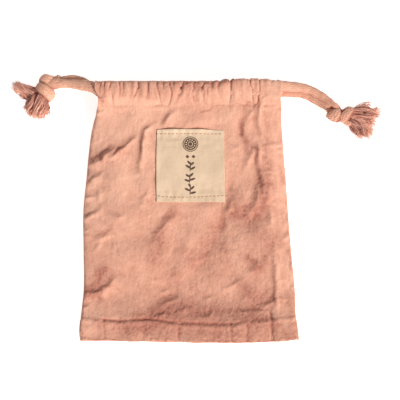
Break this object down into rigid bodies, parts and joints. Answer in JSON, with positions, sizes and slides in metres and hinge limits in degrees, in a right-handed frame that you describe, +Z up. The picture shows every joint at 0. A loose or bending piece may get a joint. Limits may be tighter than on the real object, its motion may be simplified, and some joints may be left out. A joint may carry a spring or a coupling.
{
  "type": "drawstring pouch",
  "caption": "Flat kinchaku drawstring pouch of crinkled cloth, with a gathered casing, knotted and frayed cords drawn out at both sides, and a sewn cloth label.",
  "frame": {"origin": "middle of the bag's footprint, on the surface that its back lies on", "axes": "+X across the bag to the right, +Y from the bottom fold to the mouth, +Z up, out of the front"},
  "size_m": [0.2578, 0.1872, 0.0192],
  "materials": {
    "bag_cloth": "crinkled woven cotton, salmon pink, matt",
    "label_cloth": "plain cream cotton label with a brown print, matt",
    "cord": "soft braided cotton cord, salmon pink, matt"
  },
  "bodies": {
    "root": {"pouch_cloth": "bag_cloth", "label": "label_cloth", "left_drawstring": "cord", "right_drawstring": "cord", "left_front_end": "cord", "left_back_end": "cord", "right_front_end": "cord", "right_back_end": "cord", "left_knot": "cord", "right_knot": "cord", "left_upper_frayed_end": "cord", "left_lower_frayed_end": "cord", "right_upper_frayed_end": "cord", "right_lower_frayed_end": "cord"}
  },
  "joints": []
}
